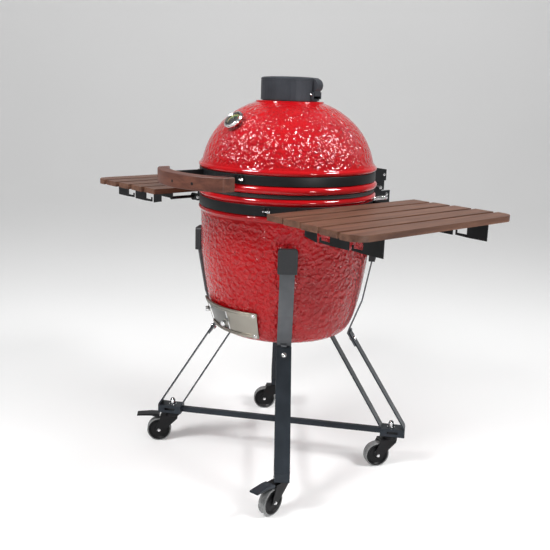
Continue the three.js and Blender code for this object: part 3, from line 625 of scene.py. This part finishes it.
half = math.asin(HANDLE_LENGTH / 2 / HANDLE_R)
outline = handle_arc(0, -half, half) + handle_arc(HANDLE_DEPTH, half, -half)
bar = prism("handle_bar_wood", outline, HANDLE_LOW, HANDLE_HIGH, BAR_WOOD, edge=3.2, segments=4)
piece(bar, "dome", "wood", "handle_bar")


def handle_hole_shade_discs():
    meshes = []
    # thin dark discs laid on the wood are painted shade, standing for the dark inside of each screw hole
    well = [(0, 0.0), (4.2, 0.0), (4.2, 0.35), (3.7, 0.45), (3.4, 0.12), (0, 0.12)]
    for x in (-112, 80, 4):
        a = math.asin(x / HANDLE_R)
        out = (math.sin(a), -math.cos(a), 0)
        y = HANDLE_CY - (HANDLE_R - 0.1) * math.cos(a)
        bm = lathe_mesh(well, 24, False)
        bmesh.ops.transform(bm, matrix=at(x, y, 923, out), verts=bm.verts)
        meshes.append(bm)
    return join_meshes("handle_screw_hole_shade", meshes, NYLON)


# the handle's screw holes are drawn as dark discs of painted shade
piece(handle_hole_shade_discs(), "dome", "nylon")
keep("handle_bracket", BLACK, 0.5)

# ---- chimney ----
keep("chimney_base", CAST, 0.7)
keep("chimney_lid", CAST, 1.2, 3)
keep("chimney_damper", CAST, 0.6)
crown = [(0, 1208), (84, 1208), (80, 1209.6), (60, 1211.2), (30, 1212.2), (0, 1212.5)]
piece(lathe("chimney_lid_crown", crown, CAST, 96), "chimney_lid", "cast_iron")
CAP_TURN = Matrix.Rotation(math.radians(-70), 4, "Z")
pin_heads = [CAP_TURN @ at(side * 27, 86, 1161, (side, 0, 0)) for side in (-1, 1)]
bolts("chimney_pin_heads", pin_heads, "dome", 3.4, "pan", False)

# ---- thermometer ----
GAUGE_Z = 1076
DIAL_Z = 13.6
GAUGE_TILT = Matrix.Rotation(math.radians(43), 4, "X")
GAUGE = Matrix.Translation(Vector((0, -dome_radius(GAUGE_Z), GAUGE_Z)) * MM) @ GAUGE_TILT


def gauge():
    bezel = [(24.5, 8), (27, 6.2), (29.5, 8.5), (31, 12), (31, 15.5), (29.2, 19), (26.6, 20.2),
             (25, 19.2), (24.5, 15.5)]
    case = [(0, -68), (2.4, -68), (2.4, 4.8), (22, 5), (28.5, 8.5), (28.5, 12), (0, 12)]
    face = [(0, 12), (25, 12), (25, DIAL_Z), (0, DIAL_Z)]
    glass = [(0, 16.2), (25.2, 16.2), (25.2, 17.0), (16, 17.8), (0, 18.2)]
    piece(lathe("gauge_bezel", bezel, CHROME, 72, GAUGE), "dome", "chrome", "thermometer")
    piece(lathe("gauge_case", case, BLACK, 48, GAUGE), "dome", "black_steel")
    piece(lathe("gauge_face", face, NYLON, 48, GAUGE), "dome", "nylon")
    piece(lathe("gauge_glass_disc", glass, GLASS, 48, GAUGE), "dome", "chrome")


gauge()


def dial_arc(name, radius, width, start, end, colour):
    dark = tuple(c * 0.85 for c in colour)
    look = spotted_look(name + "_print", dark, colour, 0.5, 200, 0.05, 0.0001)
    outline = arc_points(0, 0, radius, radius, start, end, 28)
    outline += arc_points(0, 0, radius - width, radius - width, end, start, 28)
    made = prism(name, outline, DIAL_Z, DIAL_Z + 0.2, look, GAUGE, edge=0)
    piece(made, "dome", "nylon")


dial_arc("dial_gold", 20.5, 1.7, -40, 220, (0.72, 0.55, 0.18))
dial_arc("dial_green", 17, 2.6, 60, 170, (0.18, 0.42, 0.10))
dial_arc("dial_red", 17, 2.6, -30, 50, (0.5, 0.05, 0.03))
outline = [(-5, -0.9), (19, -0.25), (19, 0.25), (-5, 0.9)]
needle = prism("dial_needle", outline, DIAL_Z + 0.3, DIAL_Z + 0.8, CHROME,
               GAUGE @ Matrix.Rotation(math.radians(128), 4, "Z"), edge=0)
piece(needle, "dome", "chrome")

# ---- hinge ----
for node in ("hinge_lower_bracket", "hinge_upper_bracket"):
    keep(node, BLACK, 0.7)
keep("hinge_pin", CHROME, 0.6)


def coil(side):
    x = side * 56
    z, turns, low, high, steps = 832, 15, 300, 392, 240
    path = []
    for k in range(steps + 1):
        a = TAU * turns * k / steps
        path.append((x + 6.6 * math.cos(a), low + (high - low) * k / steps, z + 6.6 * math.sin(a)))
    rod = [(x, 294, z), (x, 398, z)]
    name = "left" if side < 0 else "right"
    made = join_meshes(f"hinge_coil_{name}", [sweep_mesh(path, 1.4, 8), sweep_mesh(rod, 2.6, 12)], CHROME)
    piece(made, "cart", "chrome", f"hinge_spring_{name}")


coil(-1)
coil(1)
hinge_bolts = []
arm_bolts = []
for side in (-1, 1):
    for x, y, z in ((57, 360, 866), (47.2, 300, 845), (47.2, 402, 840)):
        hinge_bolts.append(at(side * x, y, z, (side, 0, 0)))
    for y, z in ((330, 922), (395, 905)):
        arm_bolts.append(at(side * 38.2, y, z, (side, 0, 0)))
bolts("hinge_bolt_heads", hinge_bolts, "cart", 5.0)
bolts("hinge_arm_bolts", arm_bolts, "dome", 4.6)


# ---- draught vent ----
VENT_LEFT, VENT_RIGHT = -121, -59
VENT_LOW, VENT_HIGH = 455, 540
SHEET_LOW, SHEET_HIGH = 464.4, 528.6
VENT_SCREW_ANGLE = -61.6


def cone_radius(z, inset):
    return 213 + 28.5 * (z - VENT_LOW) / (VENT_HIGH - VENT_LOW) + inset


def on_cone(angle, z, inset):
    return Vector(polar(angle, cone_radius(z, inset), z)) * MM


def curved_sheet(name, outer, holes, inset, material, edge=0.35):
    """A flat outline in (degrees, height) with holes, wrapped round the vent's cone."""
    bm = bmesh.new()
    edges = []
    for loop in [outer] + holes:
        verts = [bm.verts.new((a, z, 0)) for a, z in loop]
        edges += [bm.edges.new((verts[i], verts[(i + 1) % len(verts)])) for i in range(len(verts))]
    bmesh.ops.triangle_fill(bm, use_beauty=True, use_dissolve=False, edges=edges)
    low, high = min(a for a, _ in outer), max(a for a, _ in outer)
    count = max(int((high - low) / 2), 1)
    for k in range(1, count):
        where = low + (high - low) * k / count
        everything = bm.verts[:] + bm.edges[:] + bm.faces[:]
        bmesh.ops.bisect_plane(bm, geom=everything, plane_co=(where, 0, 0), plane_no=(1, 0, 0))
    made = bmesh.ops.extrude_face_region(bm, geom=bm.faces[:])
    top = [v for v in made["geom"] if isinstance(v, bmesh.types.BMVert)]
    for v in top:
        v.co.z = 1
    for v in bm.verts:
        v.co = on_cone(v.co.x, v.co.y, inset[0] + (inset[1] - inset[0]) * v.co.z)
    return bevel(new_object(name, bm, material, 30), edge, 2, 40)


def vent():
    outer = round_corners(rectangle(VENT_LEFT, VENT_RIGHT, VENT_LOW, VENT_HIGH), [1, 2.6, 2.6, 1], 5)
    window = round_corners(rectangle(VENT_LEFT + 2, VENT_RIGHT - 5.5, 465, 528), 1, 3)
    plate = curved_sheet("vent_face_plate", outer, [window], (5.2, 6.9), STAINLESS)
    piece(plate, "cart", "stainless", "vent_frame")
    for label, low, high in (("sill", 455.5, 462.5), ("head", 530.5, 539.5)):
        outline = rectangle(VENT_LEFT, VENT_RIGHT, low, high)
        rail = curved_sheet(f"vent_{label}_rail", outline, [], (0, 5.2), STAINLESS)
        piece(rail, "cart", "stainless")
    for label, low, high in (("top", 534.6, 537.4), ("under", 527.8, 530.2), ("foot", 457.8, 460.2)):
        outline = rectangle(VENT_LEFT + 0.4, VENT_RIGHT - 6, low, high)
        bead = curved_sheet(f"vent_{label}_bead", outline, [], (6.9, 8.4), STAINLESS, 0.7)
        piece(bead, "cart", "stainless")
    out = polar(VENT_SCREW_ANGLE, 1, -0.3)
    screws = [at(*polar(VENT_SCREW_ANGLE, radius, z), out)
              for radius, z in ((245.5, 531), (222.8, 463.5))]
    bolts("vent_screws", screws, "cart", 5.0, "pan")


vent()


def door():
    outline = rectangle(-86.5, -64.5, SHEET_LOW, SHEET_HIGH)
    panel = curved_sheet("vent_door_panel", outline, [], (2.6, 4.0), STAINLESS)
    piece(panel, "vent_door", "stainless", "vent_door")
    folded = rectangle(-86.6, -85.4, SHEET_LOW + 0.2, SHEET_HIGH - 0.2)
    lip = curved_sheet("vent_door_lip", folded, [], (3.9, 5.0), CHROME, 0.3)
    piece(lip, "vent_door", "chrome")
    pull = round_corners(rectangle(-90.5, -86, 479, 498), 1, 3)
    tab = curved_sheet("vent_door_tab", pull, [], (2.6, 4.0), STAINLESS)
    piece(tab, "vent_door", "stainless")


def knob(name, angle, z, inset, body):
    profile = [(0, 0), (3.4, 0), (3.4, 5.5), (7.4, 6.2), (8.4, 8), (8.4, 16.5), (7.6, 18.6), (5, 19), (0, 19)]
    place = at(*polar(angle, cone_radius(z, inset), z), polar(angle, 1, 0))
    piece(lathe(name, profile, CHROME, 32, place), body, "chrome")


door()
knob("vent_door_knob", -88, 488, 3.8, "vent_door")
outline = rectangle(-118.6, -82.5, SHEET_LOW, SHEET_HIGH)
screen = curved_sheet("vent_screen_panel", outline, [], (0.3, 1.6), SCREEN_STEEL)
piece(screen, "vent_screen", "stainless", "vent_screen")
knob("vent_screen_knob", -116.5, 502, 1.4, "vent_screen")

# ---- inner parts ----
keep("fire_box", CLAY, 1.5)
keep("fire_ring", CLAY, 1.5)
keep("charcoal_grate", CAST, 0.8)
keep("cooking_grate", STAINLESS, 0.8)

# ---- legs ----
STRUT_SLOPE = math.atan2(-305.5, 191)
STRUT_OUT = (-math.sin(STRUT_SLOPE), 0, math.cos(STRUT_SLOPE))
JOINT_RADIUS, JOINT_Z = 230.8, 415.5
KNUCKLE_RADIUS, KNUCKLE_Z = 220.3, 441.3


def leg(corner):
    turn = Matrix.Rotation(math.radians(LEG_ANGLES[corner]), 4, "Z")
    # the upper straps get the grey with painted top light
    keep(f"upper_strap_{corner}", LIT_STRAP_GREY, 0.8)
    keep(f"lower_leg_{corner}", STRIP, 0.8)
    pad = round_corners(rectangle(-28, 28, 671, 743), [3, 3, 9, 9], 5)
    made = prism(f"pad_{corner}", pad, 264.5, 284, RUBBER, turn @ YZ, edge=2.4, segments=4)
    piece(made, "cart", "rubber", f"strap_pad_{corner}")
    joint = turn @ at(JOINT_RADIUS, 0, JOINT_Z, STRUT_OUT)
    behind = Matrix.Translation((0, 0, -6.4 * MM)) @ Matrix.Rotation(math.pi, 4, "X")
    heads = bolt_meshes(joint @ Matrix.Translation((0, 0, 2.2 * MM)), 7.4, "pan")
    heads += bolt_meshes(joint @ behind, 7.0, "hex", True, 9)
    knuckle = lathe_mesh(round_corners(rectangle(0, 4.2, -8, 8), [0, 1, 1, 0], 3), 20, False)
    hinge = turn @ at(KNUCKLE_RADIUS, 0, KNUCKLE_Z, (0, 1, 0))
    bmesh.ops.transform(knuckle, matrix=hinge, verts=knuckle.verts)
    # the knuckle shares the straps' grey with painted top light
    piece(new_object(f"leg_knuckle_{corner}", knuckle, LIT_STRAP_GREY), "cart", "black_steel")
    nut = [(0, 127.5), (12, 127.5), (12, 129), (10.2, 129), (10.2, 137), (8.6, 138.5), (8.4, 142)]
    acorn = lathe_mesh(nut + arc_points(0, 142, 8.4, 8.6, 12, 90, 6), 28, False)
    stem = turn @ Matrix.Translation((STEM_RADIUS * MM, 0, 0))
    bmesh.ops.transform(acorn, matrix=stem, verts=acorn.verts)
    piece(join_meshes(f"leg_fasteners_{corner}", heads + [acorn], CHROME), "cart", "chrome")


for corner in CORNERS:
    leg(corner)

for node in ("cross_bar_upper", "cross_bar_lower"):
    keep(node, STRIP, 0.8)
bolts("cross_bolt", [at(0, 0, 123, (0, 0, 1)), at(0, 0, 105, (0, 0, -1))], "cart", 5.0)

# ---- casters ----
WHEEL_RADIUS = 40
WHEEL_SIDES = 24
AXLE_X = 46
AXLE_Z = WHEEL_RADIUS * math.cos(math.pi / WHEEL_SIDES)


def caster(corner):
    heading = Matrix.Rotation(math.radians(TRAILS[corner]), 4, "Z")
    x, y, _ = polar(LEG_ANGLES[corner], STEM_RADIUS, 0)
    local = Matrix.Translation((x * MM, y * MM, 0)) @ heading
    keep(f"caster_fork_{corner}", NYLON, 1.0, 3)
    axle = Matrix.Translation((AXLE_X * MM, 0, AXLE_Z * MM)) @ Matrix.Rotation(math.pi / 2, 4, "X")
    hub_place = local @ axle
    tyre = [(35, -12), (WHEEL_RADIUS, -12.5), (WHEEL_RADIUS, 12.5), (35, 12)]
    tyre = round_corners(tyre, [1, 3.5, 3.5, 1], 6)
    made = lathe(f"caster_tyre_{corner}", tyre, TREAD, 64, hub_place)
    piece(made, f"wheel_{corner}", "tread", f"caster_wheel_{corner}")
    hub = round_corners([(4.6, -12.4), (12, -12.4), (14, -9), (28, -8), (32, -12.2), (36.5, -12.2),
                         (36.5, 12.2), (32, 12.2), (28, 8), (14, 9), (12, 12.4), (4.6, 12.4)], 0.8, 2)
    piece(lathe(f"caster_hub_{corner}", hub, NYLON, 48, hub_place), f"wheel_{corner}", "nylon")
    ends = []
    for side in (-1, 1):
        ends += bolt_meshes(local @ at(AXLE_X, side * 17.6, AXLE_Z, (0, side, 0)), 4.6)
    piece(join_meshes(f"axle_ends_{corner}", ends, CHROME), f"caster_{corner}", "chrome")
    collar = [(0, 88), (20.5, 88), (23, 91), (23, 97), (20, 101), (0, 101)]
    piece(lathe(f"swivel_collar_{corner}", collar, NYLON, 48, local), f"caster_{corner}", "nylon")


for corner in CORNERS:
    caster(corner)
keep("brake_pedal_front_left", NYLON, 1.2, 3)
keep("brake_pedal_front_right", STRIP, 1.2, 3)

# ---- shelves ----
for side, sign in (("right", 1), ("left", -1)):
    for index in range(1, 6):
        keep(f"shelf_slat_{side}_{index}", SLAT_WOOD, 2.2, 4)
    keep(f"shelf_frame_{side}", BLACK, 0.5)
    screws = []
    for y in (-226, 179):
        for index in range(5):
            x = sign * (SLAT_FIRST_X + SLAT_PITCH * index + SLAT_WIDTH / 2)
            screws.append(at(x, y, 843.6, (0, 0, -1)))
    bolts(f"shelf_screws_{side}", screws, f"shelf_{side}", 3.2, "pan", False)


# ---- studio ----
def paper_sweep():
    bm = bmesh.new()
    reach, back, rise, bend = 12.0, 7.0, 7.0, 2.0
    rows = [(-reach, 0.0), (back - bend, 0.0)]
    for step in range(1, 9):
        lean = step * math.pi / 16
        rows.append((back - bend + bend * math.sin(lean), bend - bend * math.cos(lean)))
    rows.append((back, rise))
    heading = Matrix.Rotation(math.radians(VIEW_AZIMUTH), 4, "Z")
    pairs = [[bm.verts.new(heading @ Vector((x, y, z))) for x in (-reach, reach)] for y, z in rows]
    for (a, b), (c, d) in zip(pairs, pairs[1:]):
        bm.faces.new((a, b, d, c))
    look = Look("studio_paper")
    tone = look.noise(look.coords(), 1.2, 2)
    greys = [(0.3, (0.80, 0.80, 0.80)), (0.7, (0.82, 0.82, 0.82))]
    look.set(Base_Color=look.ramp(tone, greys), Roughness=0.9,
             Emission_Color=(1, 1, 1, 1), Emission_Strength=0.2)
    new_object("studio_floor", bm, look.material, 60)


def soft_box(name, turn, height, distance, width, tall, power, aim, glossy=True, diffuse=True):
    """A lamp turned from the camera's heading and aimed at a height on the egg's axis, in metres."""
    data = bpy.data.lights.new(name, "AREA")
    data.shape = "RECTANGLE"
    data.size, data.size_y = width, tall
    data.energy = power
    lamp = bpy.data.objects.new(name, data)
    a = math.radians(VIEW_AZIMUTH + turn)
    place = Vector((distance * math.sin(a), -distance * math.cos(a), height))
    lamp.location = place
    lamp.visible_glossy = glossy
    lamp.visible_diffuse = diffuse
    lamp.rotation_euler = (Vector((0, 0, aim)) - place).to_track_quat("-Z", "Y").to_euler()
    scene.collection.objects.link(lamp)


def studio():
    paper_sweep()
    world = bpy.data.worlds.new("world")
    world.use_nodes = True
    world.node_tree.nodes["Background"].inputs["Color"].default_value = (1, 1, 1, 1)
    world.node_tree.nodes["Background"].inputs["Strength"].default_value = 0.22
    scene.world = world
    # lamps with glossy=False give plain light only, and those with diffuse=False only highlights
    soft_box("left_box", -56, 3.2, 2.4, 0.72, 0.72, 190, 1.0, diffuse=False)
    soft_box("left_fill", -54, 3.0, 2.5, 1.0, 1.0, 84, 1.0, glossy=False)
    soft_box("right_box", 69, 3.1, 2.4, 0.72, 0.72, 185, 1.0, diffuse=False)
    soft_box("right_fill", 67, 3.0, 2.5, 1.0, 1.0, 84, 1.0, glossy=False)
    soft_box("low_box", 30, 1.0, 2.6, 0.3, 0.4, 18, 0.6, diffuse=False)
    soft_box("top_box", 0, 3.6, 1.0, 2.4, 2.4, 34, 0.6, glossy=False)


studio()
scene.view_settings.view_transform = "Standard"
